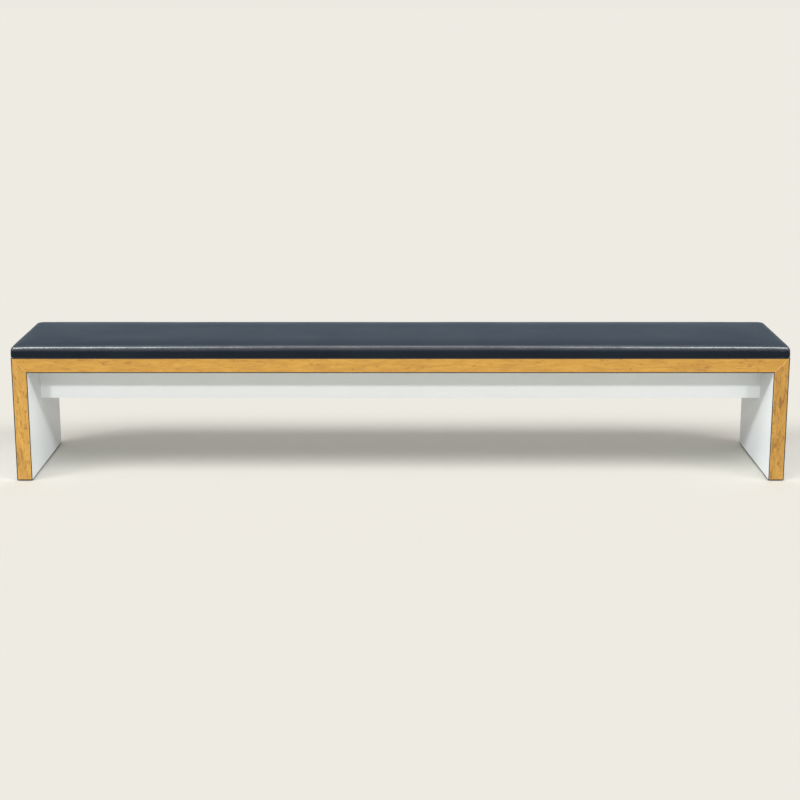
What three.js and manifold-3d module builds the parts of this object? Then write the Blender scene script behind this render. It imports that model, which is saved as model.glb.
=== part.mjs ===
// Hotel luggage bench: a mitred three-panel carcass with oak edges, a stretcher rail,
// an upholstered pad bolted on from below, and four screw-adjusted levelling feet.
// Millimetres. +Z is up, +X runs along the bench, the front faces -Y, and the floor is Z = 0.

import * as THREE from "three";
import { mergeVertices } from "three/addons/utils/BufferGeometryUtils.js";
import Module from "manifold-3d";

// Carcass
const benchLength = 2500;
const benchDepth = 480;
const carcassHeight = 410; // floor to the upper face of the top panel
const laminateThickness = 3; // solid laminate with a dark core, on both faces of each panel
const coreThickness = 44;
const lippingDepth = 10; // solid oak edge, front and rear
const mitreGap = 0.3; // glue line in the mitred corners
const edgingThickness = 2; // strip under each side panel

// Loose tongue that locks each mitre
const splineWidth = 24;
const splineThickness = 6;
const splineDepth = 30; // from the outer faces down to the middle of the tongue
const splineGap = 0.3;

// Stretcher rail under the top
const railSetback = 189; // bench front to rail front
const railThickness = 28;
const railHeight = 126; // with its bottom edging
const railEdgingThickness = 2;

// Dowels of the rail
const dowelDiameter = 10;
const dowelLength = 40; // half in the rail, half in the panel it meets
const dowelGap = 0.2; // round the dowel, and again at each end
const endDowelInset = 26; // from the rail's upper and lower edges
const topDowelSpacing = 800;

// Cam connectors that draw the rail tight against the side panels
const camDiameter = 15;
const camDepth = 20; // into the rear face of the rail
const camSetback = 34; // rail end to cam centre
const camSlotLength = 9;
const camSlotWidth = 1.8;
const camSlotDepth = 2;
const camBoltDiameter = 7;
const camBoltGrip = 14; // length inside the side panel
const camGap = 0.3;

// Pad
const padThickness = 40; // at the top of its crown
const padEndInset = 1; // each end of the pad, from the bench's ends
const padFrontInset = 0.5;
const rearLedge = 56; // bare strip of the top behind the pad
const padCornerRadius = 16;
const padTopRoll = 18; // radius of the roll round the upper edge
const padBottomRoll = 5;
const padCrown = 3.5;
const padDrawIn = 2; // how far each side pulls in between the corners
const coverThickness = 1.2;
const hemWidth = 30; // cover turned in under the board
const boardThickness = 12;
const boardInset = 7; // board edge from the pad's edge
const foamGap = 0.3;
const dustCoverThickness = 0.8;
const dustCoverGap = 0.5; // to the hem's edge

// Bolts and tee nuts that hold the pad down
const padBoltSpacing = 1000; // along the bench
const padBoltRow = 140; // each row from the middle of the pad
const padBoltDiameter = 6;
const padBoltHole = 7;
const padBoltHeadDiameter = 14;
const padBoltHeadHeight = 4;
const padBoltSocket = 4; // hexagon across its flats
const padBoltSocketDepth = 2.5;
const padBoltEndGap = 1; // bolt end below the tee nut's upper face
const teeNutFlangeDiameter = 19;
const teeNutFlangeThickness = 1.4;
const teeNutBarrelDiameter = 8.6;
const teeNutBarrelLength = 9;
const teeNutGap = 0.2;

// Levelling feet
const levellerInset = 45; // from the front and rear edges
const footDiameter = 34;
const footThickness = 3;
const footEdgeRound = 0.8;
const pocketDiameter = 26; // recess in the panel's lower edge
const pocketDepth = 8;
const sleeveDiameter = 14;
const sleeveLength = 30;
const sleeveFlangeDiameter = 22;
const sleeveFlangeThickness = 1.5;
const sleeveGap = 0.2;
const studDiameter = 8;
const studLength = 38; // threaded length above the hexagon
const studGap = 0.3; // stud to sleeve, and stud to foot
const studBoreClear = 8; // bore left free above the stud
const hexAcrossFlats = 13;
const hexHeight = 5;
const spigotDiameter = 7; // turns in the foot
const rivetHeadDiameter = 10;
const rivetHeadThickness = 0.6;
const footWeb = 1.8; // foot material between the hexagon and the rivet head

const roundSides = 14;
const footSides = 24;
const padCornerSteps = 3;
const padLongSteps = 8;
const padShortSteps = 4;
const rollSteps = 4;
const crownSteps = 2;

// Planes worked out from the sizes above
const halfLength = benchLength / 2;
const frontY = -benchDepth / 2;
const rearY = benchDepth / 2;
const coreDepth = laminateThickness; // outer face of a panel down to its core
const innerLaminateDepth = laminateThickness + coreThickness;
const panelThickness = coreThickness + 2 * laminateThickness;
const coreFrontY = frontY + lippingDepth;
const coreRearY = rearY - lippingDepth;
const legBottomZ = footThickness;
const panelBottomZ = legBottomZ + edgingThickness;
const topUndersideZ = carcassHeight - panelThickness;
const innerHalfLength = halfLength - panelThickness;

const railFrontY = frontY + railSetback;
const railRearY = railFrontY + railThickness;
const railMidY = railFrontY + railThickness / 2;
const railBottomZ = topUndersideZ - railHeight;
const railBoardBottomZ = railBottomZ + railEdgingThickness;

const padFrontY = frontY + padFrontInset;
const padRearY = rearY - rearLedge;
const padMidY = (padFrontY + padRearY) / 2;
const padHalfLength = halfLength - padEndInset;
const padHalfDepth = (padRearY - padFrontY) / 2;
const padTopZ = carcassHeight + padThickness;
const padEdgeTopZ = padTopZ - padCrown;
const rollCentreZ = padEdgeTopZ - padTopRoll;
const boardBottomZ = carcassHeight + coverThickness;
const boardTopZ = boardBottomZ + boardThickness;

const wasm = await Module();
wasm.setup();

const wood = { color: 0xc8a878, roughness: 0.75, metalness: 0 };
const finishes = {
  oak: { color: 0xd29f48, roughness: 0.45, metalness: 0 },
  laminate: { color: 0xe7e9e7, roughness: 0.4, metalness: 0 },
  particleBoard: { color: 0xb99c70, roughness: 0.9, metalness: 0 },
  darkEdging: { color: 0x2b2018, roughness: 0.6, metalness: 0 },
  whiteBoard: { color: 0xe8ebe8, roughness: 0.45, metalness: 0 },
  whiteEdging: { color: 0xe4e7e4, roughness: 0.4, metalness: 0 },
  beech: wood,
  plywood: { ...wood, color: 0xc7a26a },
  zinc: { color: 0x9a9c9e, roughness: 0.4, metalness: 1 },
  steel: { color: 0xa9abad, roughness: 0.35, metalness: 1 },
  foam: { color: 0xdcd2b4, roughness: 0.95, metalness: 0 },
  leather: { color: 0x2f3640, roughness: 0.42, metalness: 0 },
  dustCloth: { color: 0x1c1c1e, roughness: 0.95, metalness: 0 },
  nylon: { color: 0x18181a, roughness: 0.55, metalness: 0 },
};

const bench = new THREE.Group();

function addPiece(group, name, geometry, finish) {
  const piece = new THREE.Mesh(geometry, new THREE.MeshStandardMaterial(finishes[finish]));
  piece.name = name;
  group.add(piece);
}

function addGroup() {
  const group = new THREE.Group();
  bench.add(group);
  return group;
}

// A closed mesh with its shared vertices merged, as a solid that can be joined and cut
function solidOf(geometry) {
  const bare = geometry.clone();
  bare.deleteAttribute("normal");
  bare.deleteAttribute("uv");
  const merged = mergeVertices(bare);
  return new wasm.Manifold(
    new wasm.Mesh({
      numProp: 3,
      vertProperties: new Float32Array(merged.attributes.position.array),
      triVerts: new Uint32Array(merged.index.array),
    }),
  );
}

function geometryOf(solid) {
  const mesh = solid.getMesh();
  const geometry = new THREE.BufferGeometry();
  geometry.setAttribute("position", new THREE.BufferAttribute(mesh.vertProperties, 3));
  geometry.setIndex(new THREE.BufferAttribute(mesh.triVerts, 1));
  geometry.computeVertexNormals();
  return geometry;
}

function cut(geometry, cutters) {
  const rest = cutters.reduce((solid, cutter) => solid.subtract(solidOf(cutter)), solidOf(geometry));
  return geometryOf(rest);
}

function join(...geometries) {
  const [first, ...others] = geometries.map(solidOf);
  return geometryOf(others.reduce((solid, other) => solid.add(other), first));
}

// A block whose eight corners are placed one by one: place(farX, farY, farZ) gives a corner
function cornerBlock(place) {
  const geometry = new THREE.BoxGeometry(1, 1, 1);
  const position = geometry.attributes.position;
  for (let i = 0; i < position.count; i++) {
    const corner = place(position.getX(i) > 0, position.getY(i) > 0, position.getZ(i) > 0);
    position.setXYZ(i, ...corner);
  }
  return geometry;
}

function block(x0, x1, y0, y1, z0, z1) {
  return cornerBlock((farX, farY, farZ) => [farX ? x1 : x0, farY ? y1 : y0, farZ ? z1 : z0]);
}

// A round bar between two points
function bar(diameter, start, end, sides = roundSides) {
  const from = new THREE.Vector3(...start);
  const run = new THREE.Vector3(...end).sub(from);
  const geometry = new THREE.CylinderGeometry(diameter / 2, diameter / 2, run.length(), sides);
  const along = run.clone().normalize();
  geometry.applyQuaternion(new THREE.Quaternion().setFromUnitVectors(new THREE.Vector3(0, 1, 0), along));
  const middle = from.addScaledVector(run, 0.5);
  return geometry.translate(middle.x, middle.y, middle.z);
}

// A piece turned about a vertical axis through (x, y): the profile lists [diameter, z]
function turned(profile, x, y, sides = roundSides) {
  const points = profile.map(([diameter, z]) => new THREE.Vector2(diameter / 2, z));
  const geometry = new THREE.LatheGeometry(points, sides);
  return geometry.rotateX(Math.PI / 2).translate(x, y, 0);
}

// A hexagonal bar standing at (x, y)
function hexagon(acrossFlats, x, y, z0, z1) {
  const acrossCorners = acrossFlats / Math.cos(Math.PI / 6);
  return bar(acrossCorners, [x, y, z0], [x, y, z1], 6);
}

// One layer of the top panel between two depths below its upper face, mitred at both ends
function topLayer(depth0, depth1, y0, y1) {
  return cornerBlock((farX, farY, farZ) => {
    const depth = farZ ? depth0 : depth1;
    const endX = halfLength - depth - mitreGap;
    return [farX ? endX : -endX, farY ? y1 : y0, carcassHeight - depth];
  });
}

// One layer of a side panel between two depths from its outer face, mitred at the top
function sideLayer(side, depth0, depth1, y0, y1) {
  return cornerBlock((farX, farY, farZ) => {
    const outer = farX === side > 0;
    const depth = outer ? depth0 : depth1;
    const x = side * (halfLength - depth);
    return [x, farY ? y1 : y0, farZ ? carcassHeight - depth : panelBottomZ];
  });
}

// The tongue across a mitre, or with a gap the groove that takes it
function tongue(side, gap, endGap) {
  const length = coreRearY - coreFrontY - 2 * endGap;
  const geometry = new THREE.BoxGeometry(splineWidth + 2 * gap, length, splineThickness + 2 * gap);
  geometry.rotateY((side * Math.PI) / 4);
  return geometry.translate(side * (halfLength - splineDepth), 0, carcassHeight - splineDepth);
}

const sides = [
  { name: "left", side: -1 },
  { name: "right", side: 1 },
];
const ends = [
  { name: "front", y: frontY + levellerInset },
  { name: "rear", y: rearY - levellerInset },
];

// Where the pad's bolts, the rail's dowels and the levelling feet stand
const padBolts = [];
for (const x of [-padBoltSpacing, 0, padBoltSpacing]) {
  for (const y of [padMidY - padBoltRow, padMidY + padBoltRow]) {
    const number = padBolts.length + 1;
    padBolts.push({ name: `pad_bolt_${number}`, nut: `pad_tee_nut_${number}`, x, y });
  }
}

const dowels = [-topDowelSpacing, 0, topDowelSpacing].map((x, i) => ({
  name: `rail_top_dowel_${i + 1}`,
  middle: [x, railMidY, topUndersideZ],
  along: [0, 0, 1],
}));
const endDowelHeights = [
  { name: "lower", z: railBottomZ + endDowelInset },
  { name: "upper", z: topUndersideZ - endDowelInset },
];
for (const { name, side } of sides) {
  for (const height of endDowelHeights) {
    dowels.push({
      name: `${name}_rail_dowel_${height.name}`,
      middle: [side * innerHalfLength, railMidY, height.z],
      along: [1, 0, 0],
    });
  }
}

function dowelBar({ middle, along }, gap) {
  const reach = dowelLength / 2 + gap;
  const start = middle.map((value, i) => value - reach * along[i]);
  const end = middle.map((value, i) => value + reach * along[i]);
  return bar(dowelDiameter + 2 * gap, start, end);
}

const dowelHoles = dowels.map((dowel) => dowelBar(dowel, dowelGap));

const camZ = railBottomZ + railHeight / 2;

function camBolt(side, gap) {
  const gripX = side * (innerHalfLength + camBoltGrip + gap);
  const endX = side * (innerHalfLength - camSetback - gap);
  return bar(camBoltDiameter + 2 * gap, [gripX, railMidY, camZ], [endX, railMidY, camZ]);
}

// The cam reaches to the rear face of the rail; its pocket runs past that face
function camBar(side, gap, pastFace) {
  const x = side * (innerHalfLength - camSetback);
  const bottom = [x, railRearY - camDepth - gap, camZ];
  return bar(camDiameter + 2 * gap, bottom, [x, railRearY + pastFace, camZ]);
}

const camBoltHoles = sides.map(({ side }) => camBolt(side, camGap));

// Top panel
const topGroup = addGroup();
const boltHoles = padBolts.map(({ x, y }) =>
  bar(padBoltHole, [x, y, topUndersideZ - padBoltHeadHeight], [x, y, boardBottomZ]),
);
const topHoles = [...boltHoles, ...dowelHoles];
const grooves = sides.map(({ side }) => tongue(side, splineGap, 0));
const upperLaminate = topLayer(0, coreDepth, frontY, rearY);
const topCore = topLayer(coreDepth, innerLaminateDepth, coreFrontY, coreRearY);
const lowerLaminate = topLayer(innerLaminateDepth, panelThickness, frontY, rearY);
addPiece(topGroup, "top_upper_laminate", cut(upperLaminate, boltHoles), "laminate");
addPiece(topGroup, "top_core", cut(topCore, [...topHoles, ...grooves]), "particleBoard");
addPiece(topGroup, "top_lower_laminate", cut(lowerLaminate, topHoles), "laminate");
const topFrontLipping = topLayer(coreDepth, innerLaminateDepth, frontY, coreFrontY);
const topRearLipping = topLayer(coreDepth, innerLaminateDepth, coreRearY, rearY);
addPiece(topGroup, "top_front_lipping", topFrontLipping, "oak");
addPiece(topGroup, "top_rear_lipping", topRearLipping, "oak");

// Side panels, with the pockets and bores of their levelling feet
const pocketCeilingZ = legBottomZ + pocketDepth;
const hexBottomZ = footThickness + studGap;
const hexTopZ = hexBottomZ + hexHeight;
const studTopZ = hexTopZ + studLength;
const sleeveTopZ = pocketCeilingZ + sleeveLength;
const boreTopZ = Math.max(studTopZ, sleeveTopZ) + studBoreClear;
const levellerX = halfLength - panelThickness / 2;

function levellerHoles(side) {
  return ends.flatMap(({ y }) => {
    const x = side * levellerX;
    const pocket = bar(pocketDiameter, [x, y, 0], [x, y, pocketCeilingZ]);
    const bore = bar(sleeveDiameter + 2 * sleeveGap, [x, y, legBottomZ], [x, y, boreTopZ]);
    return [pocket, bore];
  });
}

for (const { name, side } of sides) {
  const group = addGroup();
  const railHoles = [...dowelHoles, ...camBoltHoles];
  const footHoles = levellerHoles(side);
  const outer = sideLayer(side, 0, coreDepth, frontY, rearY);
  const core = sideLayer(side, coreDepth, innerLaminateDepth, coreFrontY, coreRearY);
  const inner = sideLayer(side, innerLaminateDepth, panelThickness, frontY, rearY);
  const frontLipping = sideLayer(side, coreDepth, innerLaminateDepth, frontY, coreFrontY);
  const rearLipping = sideLayer(side, coreDepth, innerLaminateDepth, coreRearY, rearY);
  const edgingX = [side * halfLength, side * innerHalfLength].sort((a, b) => a - b);
  const edging = block(...edgingX, frontY, rearY, legBottomZ, panelBottomZ);
  addPiece(group, `${name}_outer_laminate`, outer, "laminate");
  addPiece(group, `${name}_side_core`, cut(core, [...railHoles, ...footHoles, ...grooves]), "particleBoard");
  addPiece(group, `${name}_inner_laminate`, cut(inner, railHoles), "laminate");
  addPiece(group, `${name}_front_lipping`, frontLipping, "oak");
  addPiece(group, `${name}_rear_lipping`, rearLipping, "oak");
  addPiece(group, `${name}_bottom_edging`, cut(edging, footHoles), "darkEdging");
  addPiece(group, `${name}_mitre_spline`, tongue(side, 0, splineGap), "plywood");
}

// Stretcher rail with its dowels and cam connectors
const railGroup = addGroup();
const camPockets = sides.map(({ side }) => camBar(side, camGap, camDepth));
const railPlan = [-innerHalfLength, innerHalfLength, railFrontY, railRearY];
const railBoard = block(...railPlan, railBoardBottomZ, topUndersideZ);
const railEdging = block(...railPlan, railBottomZ, railBoardBottomZ);
const railBoardHoles = [...dowelHoles, ...camBoltHoles, ...camPockets];
addPiece(railGroup, "rail_board", cut(railBoard, railBoardHoles), "whiteBoard");
addPiece(railGroup, "rail_bottom_edging", railEdging, "whiteEdging");

for (const dowel of dowels) {
  addPiece(railGroup, dowel.name, dowelBar(dowel, 0), "beech");
}

for (const { name, side } of sides) {
  const x = side * (innerHalfLength - camSetback);
  const long = camSlotLength / 2;
  const narrow = camSlotWidth / 2;
  const slotY = railRearY - camSlotDepth;
  const slots = [
    block(x - long, x + long, slotY, railRearY + camSlotDepth, camZ - narrow, camZ + narrow),
    block(x - narrow, x + narrow, slotY, railRearY + camSlotDepth, camZ - long, camZ + long),
  ];
  addPiece(railGroup, `${name}_cam`, cut(camBar(side, 0, 0), [camBolt(side, camGap), ...slots]), "zinc");
  addPiece(railGroup, `${name}_cam_bolt`, camBolt(side, 0), "steel");
}

// Pad. Its rings run counter-clockwise seen from above, starting at the front left.
// The four sides draw in between the corners.
function padRing({ inset, z, drawIn = 0 }) {
  const halfX = padHalfLength - inset;
  const halfY = padHalfDepth - inset;
  const radius = Math.max(padCornerRadius - inset, coverThickness);
  const straightX = halfX - radius;
  const straightY = halfY - radius;
  const bow = (share) => drawIn * (1 - share * share);
  const points = [];
  for (let corner = 0; corner < 4; corner++) {
    const turn = (corner * Math.PI) / 2 - Math.PI / 2;
    const alongX = corner % 2 === 0;
    const steps = alongX ? padLongSteps : padShortSteps;
    const straight = alongX ? straightX : straightY;
    const out = alongX ? halfY : halfX;
    const place = (along, outward) => [
      outward * Math.cos(turn) - along * Math.sin(turn),
      padMidY + outward * Math.sin(turn) + along * Math.cos(turn),
      z,
    ];
    for (let i = 0; i <= steps; i++) {
      const share = (2 * i) / steps - 1;
      points.push(place(share * straight, out - bow(share)));
    }
    for (let i = 1; i < padCornerSteps; i++) {
      const angle = (i / padCornerSteps) * (Math.PI / 2);
      const along = straight + radius * Math.sin(angle);
      points.push(place(along, out - radius + radius * Math.cos(angle)));
    }
  }
  return points;
}

// The line along the middle of the pad where a surface closes
function padSpine(z) {
  const reach = padHalfLength - padHalfDepth;
  return padRing({ inset: padTopRoll, z }).map(([x]) => [Math.min(Math.max(x, -reach), reach), padMidY, z]);
}

// The pad's surface from its side up to its crown, at a distance under the cover's face
function padShell(under) {
  const rings = [];
  for (let i = 0; i <= rollSteps; i++) {
    const angle = (i / rollSteps) * (Math.PI / 2);
    const radius = padTopRoll - under;
    const inset = under + radius * (1 - Math.cos(angle));
    const drawIn = padDrawIn * Math.cos(angle);
    rings.push({ inset, z: rollCentreZ + radius * Math.sin(angle), drawIn });
  }
  for (let i = 1; i <= crownSteps; i++) {
    const share = i / (crownSteps + 1);
    const inset = padTopRoll + share * (padHalfDepth - padTopRoll);
    const rise = padCrown * (1 - (1 - share) * (1 - share));
    rings.push({ inset, z: padEdgeTopZ + rise - under });
  }
  return [...rings.map(padRing), padSpine(padTopZ - under)];
}

// Joins rings, and the spines that start and end them, into one closed surface
function loft(rings) {
  const positions = [];
  const known = new Map();
  const rows = rings.map((ring) =>
    ring.map((point) => {
      const key = point.map((value) => value.toFixed(4)).join();
      if (!known.has(key)) {
        known.set(key, known.size);
        positions.push(...point);
      }
      return known.get(key);
    }),
  );
  const triangles = [];
  const addTriangle = (a, b, c) => {
    if (a !== b && b !== c && c !== a) triangles.push(a, b, c);
  };
  for (let row = 0; row + 1 < rows.length; row++) {
    const low = rows[row];
    const high = rows[row + 1];
    for (let i = 0; i < low.length; i++) {
      const next = (i + 1) % low.length;
      addTriangle(low[i], low[next], high[next]);
      addTriangle(low[i], high[next], high[i]);
    }
  }
  const geometry = new THREE.BufferGeometry();
  geometry.setAttribute("position", new THREE.Float32BufferAttribute(positions, 3));
  geometry.setIndex(triangles);
  geometry.computeVertexNormals();
  return geometry;
}

const padGroup = addGroup();
const foamUnder = coverThickness + foamGap;
const foamBottomZ = boardTopZ + foamGap;
const hemRing = { inset: hemWidth, z: carcassHeight };
const bottomRollZ = carcassHeight + padBottomRoll;
const rollMiddle = padBottomRoll * (1 - Math.SQRT1_2);
const coverOutside = [
  hemRing,
  { inset: padBottomRoll, z: carcassHeight, drawIn: padDrawIn },
  { inset: rollMiddle, z: carcassHeight + rollMiddle, drawIn: padDrawIn },
  { inset: 0, z: bottomRollZ, drawIn: padDrawIn },
];
const coverInside = [
  { inset: coverThickness, z: bottomRollZ, drawIn: padDrawIn },
  { inset: padBottomRoll, z: boardBottomZ, drawIn: padDrawIn },
  { ...hemRing, z: boardBottomZ },
];
const coverRings = [
  ...padShell(coverThickness).reverse(),
  ...coverInside.map(padRing),
  ...coverOutside.map(padRing),
  ...padShell(0),
];
const foamRings = [
  padSpine(foamBottomZ),
  padRing({ inset: foamUnder, z: foamBottomZ, drawIn: padDrawIn }),
  ...padShell(foamUnder),
];
addPiece(padGroup, "pad_cover", loft(coverRings), "leather");
addPiece(padGroup, "pad_foam", loft(foamRings), "foam");

// A flat sheet of the pad's outline between two heights
function padSheet(inset, z0, z1) {
  return loft([padSpine(z0), padRing({ inset, z: z0 }), padRing({ inset, z: z1 }), padSpine(z1)]);
}

const teeNutSeatZ = boardTopZ - teeNutFlangeThickness - teeNutGap;
const teeNutTopZ = teeNutSeatZ + teeNutFlangeThickness;
const pastBoardZ = boardTopZ + boardThickness;
const teeNutHoles = padBolts.flatMap(({ x, y }) => [
  bar(teeNutBarrelDiameter + 2 * teeNutGap, [x, y, carcassHeight], [x, y, pastBoardZ]),
  bar(teeNutFlangeDiameter + 2 * teeNutGap, [x, y, teeNutSeatZ - teeNutGap], [x, y, pastBoardZ]),
]);
const board = padSheet(boardInset, boardBottomZ, boardTopZ);
const dustCover = padSheet(hemWidth + dustCoverGap, boardBottomZ - dustCoverThickness, boardBottomZ);
addPiece(padGroup, "pad_base_board", cut(board, teeNutHoles), "plywood");
addPiece(padGroup, "pad_dust_cover", cut(dustCover, boltHoles), "dustCloth");

const boltUnderHeadZ = topUndersideZ - padBoltHeadHeight;
const teeNutBore = padBoltDiameter + 2 * teeNutGap;
for (const { name, nut, x, y } of padBolts) {
  const bolt = turned(
    [
      [0, boltUnderHeadZ],
      [padBoltHeadDiameter, boltUnderHeadZ],
      [padBoltHeadDiameter, topUndersideZ],
      [padBoltDiameter, topUndersideZ],
      [padBoltDiameter, teeNutTopZ - padBoltEndGap],
      [0, teeNutTopZ - padBoltEndGap],
    ],
    x,
    y,
  );
  const socketEnds = [boltUnderHeadZ - padBoltSocketDepth, boltUnderHeadZ + padBoltSocketDepth];
  const socket = hexagon(padBoltSocket, x, y, ...socketEnds);
  const teeNut = turned(
    [
      [teeNutBore, teeNutSeatZ - teeNutBarrelLength],
      [teeNutBarrelDiameter, teeNutSeatZ - teeNutBarrelLength],
      [teeNutBarrelDiameter, teeNutSeatZ],
      [teeNutFlangeDiameter, teeNutSeatZ],
      [teeNutFlangeDiameter, teeNutTopZ],
      [teeNutBore, teeNutTopZ],
      [teeNutBore, teeNutSeatZ - teeNutBarrelLength],
    ],
    x,
    y,
  );
  addPiece(padGroup, name, cut(bolt, [socket]), "steel");
  addPiece(padGroup, nut, teeNut, "steel");
}

// Levelling feet: a sleeve in the panel, a stud that turns in it, and a foot on the stud's end
const sleeveBore = studDiameter + 2 * studGap;
const flangeBottomZ = pocketCeilingZ - sleeveGap - sleeveFlangeThickness;
const webBottomZ = footThickness - footWeb;
const rivetTopZ = webBottomZ - studGap;
for (const { name: sideName, side } of sides) {
  for (const { name: endName, y } of ends) {
    const group = addGroup();
    const place = `${endName}_${sideName}`;
    const x = side * levellerX;
    const sleeve = [
      [sleeveBore, flangeBottomZ],
      [sleeveFlangeDiameter, flangeBottomZ],
      [sleeveFlangeDiameter, flangeBottomZ + sleeveFlangeThickness],
      [sleeveDiameter, flangeBottomZ + sleeveFlangeThickness],
      [sleeveDiameter, sleeveTopZ],
      [sleeveBore, sleeveTopZ],
      [sleeveBore, flangeBottomZ],
    ];
    const spindle = [
      [0, rivetTopZ - rivetHeadThickness],
      [rivetHeadDiameter, rivetTopZ - rivetHeadThickness],
      [rivetHeadDiameter, rivetTopZ],
      [spigotDiameter, rivetTopZ],
      [spigotDiameter, hexTopZ],
      [studDiameter, hexTopZ],
      [studDiameter, studTopZ],
      [0, studTopZ],
    ];
    const foot = [
      [spigotDiameter + 2 * studGap, webBottomZ],
      [rivetHeadDiameter + 2 * studGap, webBottomZ],
      [rivetHeadDiameter + 2 * studGap, 0],
      [footDiameter - 2 * footEdgeRound, 0],
      [footDiameter, footEdgeRound],
      [footDiameter, footThickness],
      [spigotDiameter + 2 * studGap, footThickness],
      [spigotDiameter + 2 * studGap, webBottomZ],
    ];
    const stud = join(turned(spindle, x, y), hexagon(hexAcrossFlats, x, y, hexBottomZ, hexTopZ));
    addPiece(group, `${place}_leveller_sleeve`, turned(sleeve, x, y), "steel");
    addPiece(group, `${place}_leveller_stud`, stud, "steel");
    addPiece(group, `${place}_leveller_foot`, turned(foot, x, y, footSides), "nylon");
  }
}

export default bench;
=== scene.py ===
import bmesh
import bpy
import math
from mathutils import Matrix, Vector, noise


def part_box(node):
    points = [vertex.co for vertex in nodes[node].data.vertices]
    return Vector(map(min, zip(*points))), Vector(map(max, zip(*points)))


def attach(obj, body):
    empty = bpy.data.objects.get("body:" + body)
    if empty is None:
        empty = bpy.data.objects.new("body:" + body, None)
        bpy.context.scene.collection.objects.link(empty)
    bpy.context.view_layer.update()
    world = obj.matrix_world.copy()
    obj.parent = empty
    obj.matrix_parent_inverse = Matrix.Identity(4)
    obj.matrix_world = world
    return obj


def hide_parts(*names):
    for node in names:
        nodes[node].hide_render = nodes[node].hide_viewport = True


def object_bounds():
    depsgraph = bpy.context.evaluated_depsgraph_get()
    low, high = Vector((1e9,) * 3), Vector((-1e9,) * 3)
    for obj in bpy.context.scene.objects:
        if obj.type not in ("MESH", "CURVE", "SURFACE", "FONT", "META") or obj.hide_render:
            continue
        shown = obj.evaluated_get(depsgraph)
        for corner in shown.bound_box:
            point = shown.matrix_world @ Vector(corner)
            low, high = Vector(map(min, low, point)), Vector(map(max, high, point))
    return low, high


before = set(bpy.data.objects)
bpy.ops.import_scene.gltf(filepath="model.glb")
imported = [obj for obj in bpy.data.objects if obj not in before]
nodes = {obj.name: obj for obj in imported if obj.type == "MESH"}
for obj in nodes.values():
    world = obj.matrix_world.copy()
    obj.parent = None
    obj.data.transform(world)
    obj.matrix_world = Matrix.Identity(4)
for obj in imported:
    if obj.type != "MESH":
        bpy.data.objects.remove(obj)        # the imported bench: metres, front faces -Y, floor at z = 0
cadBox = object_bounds()
scene = bpy.context.scene
mm = 0.001
print("frame:", len(nodes), "nodes")


# node trees: put() adds a node, sets or wires its sockets by name or number, and hands it back
def put(tree, kind, wires=None, **settings):
    made = tree.nodes.new(kind)
    for name, value in settings.items():
        setattr(made, name, value)
    for socket, value in (wires or {}).items():
        if isinstance(value, bpy.types.NodeSocket):
            tree.links.new(value, made.inputs[socket])
        else:
            made.inputs[socket].default_value = value
    return made


def maths(tree, operation, *values):
    return put(tree, "ShaderNodeMath", dict(enumerate(values)), operation=operation).outputs[0]


def times(tree, first, second):
    return maths(tree, "MULTIPLY", first, second)


def xyz(tree, x=0.0, y=0.0, z=0.0):
    return put(tree, "ShaderNodeCombineXYZ", {0: x, 1: y, 2: z}).outputs[0]


def remap(tree, value, low, high, toLow=0.0, toHigh=1.0):
    wires = {"Value": value, "From Min": low, "From Max": high, "To Min": toLow, "To Max": toHigh}
    return put(tree, "ShaderNodeMapRange", wires).outputs[0]


def mixColour(tree, share, first, second, mode="MIX"):
    wires = {0: share, 6: first, 7: second}
    return put(tree, "ShaderNodeMix", wires, data_type="RGBA", blend_type=mode).outputs[2]


def newTree(name, kind, inputs, outputs):
    tree = bpy.data.node_groups.new(name, kind)
    for label, socketKind, value in inputs:
        socket = tree.interface.new_socket(label, in_out="INPUT", socket_type="NodeSocket" + socketKind)
        if value is not None:
            socket.default_value = value
    for label, socketKind in outputs:
        tree.interface.new_socket(label, in_out="OUTPUT", socket_type="NodeSocket" + socketKind)
    return tree, put(tree, "NodeGroupInput").outputs, put(tree, "NodeGroupOutput").inputs


def stretched(tree, vector, scale, turn=(0, 0, 0)):
    return put(tree, "ShaderNodeMapping", {"Vector": vector, "Rotation": turn, "Scale": scale}).outputs[0]


def noiseOf(tree, vector, scale, detail=3.0, roughness=0.55, distortion=0.0):
    wires = {"Vector": vector, "Scale": scale, "Detail": detail, "Roughness": roughness,
             "Distortion": distortion}
    return put(tree, "ShaderNodeTexNoise", wires).outputs[0]


# shared finish groups
def makeMottle():
    inputs = [("Vector", "Vector", None), ("Scale", "Float", 8.0), ("Low", "Float", 0.0),
              ("High", "Float", 1.0)]
    tree, given, out = newTree("softMottle", "ShaderNodeTree", inputs, [("Mask", "Float")])
    clouds = noiseOf(tree, given["Vector"], given["Scale"], 4.0, 0.6)
    tree.links.new(remap(tree, clouds, 0.32, 0.68, given["Low"], given["High"]), out["Mask"])
    return tree


def makeFineGrain():
    inputs = [("Vector", "Vector", None), ("Scale", "Float", 900.0), ("Softness", "Float", 0.4)]
    outputs = [("Height", "Float"), ("Pits", "Float")]
    tree, given, out = newTree("fineGrain", "ShaderNodeTree", inputs, outputs)
    cellWires = {"Vector": given["Vector"], "Scale": given["Scale"], "Smoothness": given["Softness"]}
    cells = put(tree, "ShaderNodeTexVoronoi", cellWires, feature="SMOOTH_F1").outputs["Distance"]
    fine = noiseOf(tree, given["Vector"], times(tree, given["Scale"], 2.3), 2.0)
    raised = maths(tree, "SUBTRACT", 1.0, cells)
    tree.links.new(maths(tree, "MULTIPLY_ADD", fine, 0.25, raised), out["Height"])
    tree.links.new(remap(tree, cells, 0.35, 0.75), out["Pits"])
    return tree


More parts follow.
